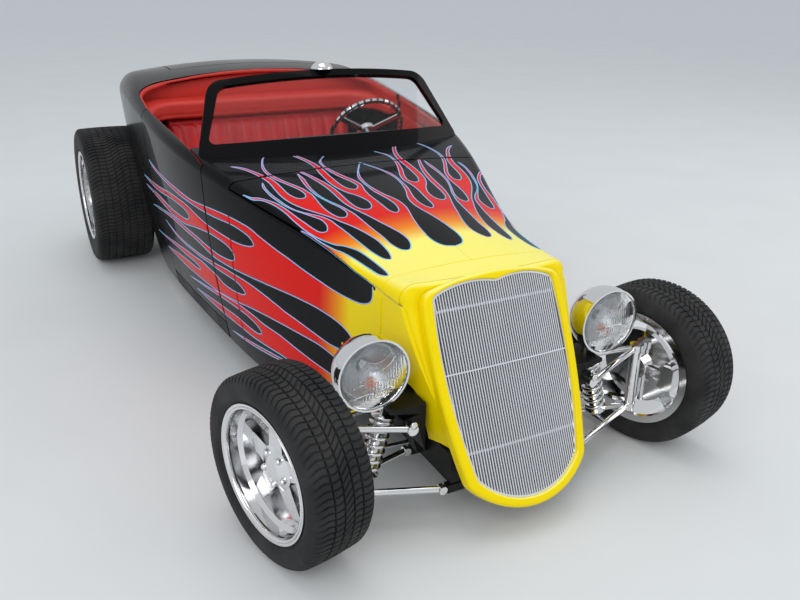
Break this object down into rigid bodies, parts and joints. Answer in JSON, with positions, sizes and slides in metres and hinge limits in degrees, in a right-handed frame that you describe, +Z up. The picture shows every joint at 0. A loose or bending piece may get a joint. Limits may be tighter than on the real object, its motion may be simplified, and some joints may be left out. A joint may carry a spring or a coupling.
{
  "type": "street rod roadster",
  "caption": "Low open street rod roadster with a raked grille shell of upright bars, flamed hood, bowed windshield, bench seat, doors, trunk lid and steered front wheels",
  "frame": {"origin": "on the floor under the centre of the bounding box", "axes": "+Z up, +X the car's left, the car faces -Y"},
  "size_m": [1.708, 3.7427, 1.2251],
  "materials": {
    "body_paint": "gloss black",
    "screen_black": "gloss black",
    "polished_metal": "polished",
    "wheel_metal": "polished",
    "tyre": "matte rubber",
    "red_leather": "smooth leather",
    "chassis_paint": "satin black",
    "cast_metal": "cast",
    "plain_metal": "satin",
    "clear_glass": "clear",
    "red_lens": "gloss"
  },
  "bodies": {
    "body": {"hood_side_left": "body_paint", "hood_side_right": "body_paint", "cowl": "body_paint", "rear_body": "body_paint", "floor_pan": "chassis_paint", "grille_shell": "body_paint", "grille_insert": "polished_metal", "radiator": "plain_metal", "windshield_frame": "screen_black", "windshield_glass": "clear_glass", "mirror": "polished_metal", "dash": "screen_black", "steering_column": "polished_metal", "seat_base": "red_leather", "seat_back": "red_leather", "cockpit_roll": "red_leather", "frame_rails": "chassis_paint", "crossmembers": "chassis_paint", "engine": "cast_metal", "gearbox": "cast_metal", "fuel_tank": "plain_metal", "trunk_floor": "chassis_paint", "rear_axle": "chassis_paint", "coil_overs_rear": "polished_metal", "exhaust": "polished_metal", "lower_arms": "polished_metal", "upper_arms": "polished_metal", "shock_towers": "chassis_paint", "coil_overs_front": "polished_metal", "steering_rack": "chassis_paint", "headlights": "polished_metal", "headlight_lenses": "clear_glass", "tail_lamps": "red_lens", "plate_bracket": "chassis_paint"},
    "hood": {"hood_top": "body_paint"},
    "trunk_lid": {"decklid": "body_paint"},
    "left_door": {"door_left": "body_paint", "door_trim_left": "red_leather"},
    "right_door": {"door_right": "body_paint", "door_trim_right": "red_leather"},
    "left_knuckle": {"knuckle_left": "wheel_metal"},
    "right_knuckle": {"knuckle_right": "wheel_metal"},
    "front_left_wheel": {"wheel_front_left": "wheel_metal", "tyre_front_left": "tyre"},
    "front_right_wheel": {"wheel_front_right": "wheel_metal", "tyre_front_right": "tyre"},
    "rear_left_wheel": {"wheel_rear_left": "wheel_metal", "tyre_rear_left": "tyre"},
    "rear_right_wheel": {"wheel_rear_right": "wheel_metal", "tyre_rear_right": "tyre"},
    "steering_wheel": {"steering_wheel": "polished_metal"},
    "tie_rods": {"tie_rods": "polished_metal"}
  },
  "joints": [
    {"name": "steer_left", "type": "hinge", "parent": "body", "child": "left_knuckle", "pos_m": [0.615, -1.553, 0.289], "axis": [0, 0, 1], "range_deg": [-46, 18]},
    {"name": "steer_right", "type": "hinge", "parent": "body", "child": "right_knuckle", "pos_m": [-0.615, -1.553, 0.289], "axis": [0, 0, 1], "range_deg": [-46, 18]},
    {"name": "steering_wheel_turn", "type": "hinge", "parent": "body", "child": "steering_wheel", "pos_m": [0.35, 0.107, 0.842], "axis": [0.0261, 0.8696, 0.4931], "range_deg": [-737, 289]},
    {"name": "tie_rod_slide", "type": "slide", "parent": "body", "child": "tie_rods", "axis": [1, 0, 0], "range_m": [-0.04329, 0.10906]},
    {"name": "front_left_roll", "type": "hinge", "parent": "left_knuckle", "child": "front_left_wheel", "pos_m": [0.69747, -1.53244, 0.289], "axis": [0.9703, 0.2419, 0], "continuous": true},
    {"name": "front_right_roll", "type": "hinge", "parent": "right_knuckle", "child": "front_right_wheel", "pos_m": [-0.69747, -1.57356, 0.289], "axis": [0.9703, 0.2419, 0], "continuous": true},
    {"name": "rear_left_roll", "type": "hinge", "parent": "body", "child": "rear_left_wheel", "pos_m": [0.7, 1.292, 0.371], "axis": [1, 0, 0], "continuous": true},
    {"name": "rear_right_roll", "type": "hinge", "parent": "body", "child": "rear_right_wheel", "pos_m": [-0.7, 1.292, 0.371], "axis": [1, 0, 0], "continuous": true},
    {"name": "left_door_hinge", "type": "hinge", "parent": "body", "child": "left_door", "pos_m": [0.673, 0.34, 0.6], "axis": [0, 0, 1], "range_deg": [0, 65]},
    {"name": "right_door_hinge", "type": "hinge", "parent": "body", "child": "right_door", "pos_m": [-0.673, 0.34, 0.6], "axis": [0, 0, -1], "range_deg": [0, 65]},
    {"name": "hood_hinge", "type": "hinge", "parent": "body", "child": "hood", "pos_m": [0, -0.571, 0.8683], "axis": [-1, 0, 0], "range_deg": [0, 50]},
    {"name": "trunk_hinge", "type": "hinge", "parent": "body", "child": "trunk_lid", "pos_m": [0, 0.864, 1.106], "axis": [1, 0, 0], "range_deg": [0, 60]}
  ],
  "couplings": [
    {"joint": "steer_right", "follows": "steer_left", "ratio": 1},
    {"joint": "steering_wheel_turn", "follows": "steer_left", "ratio": 16},
    {"joint": "tie_rod_slide", "follows": "steer_left", "m_per_rad": -0.1346}
  ]
}
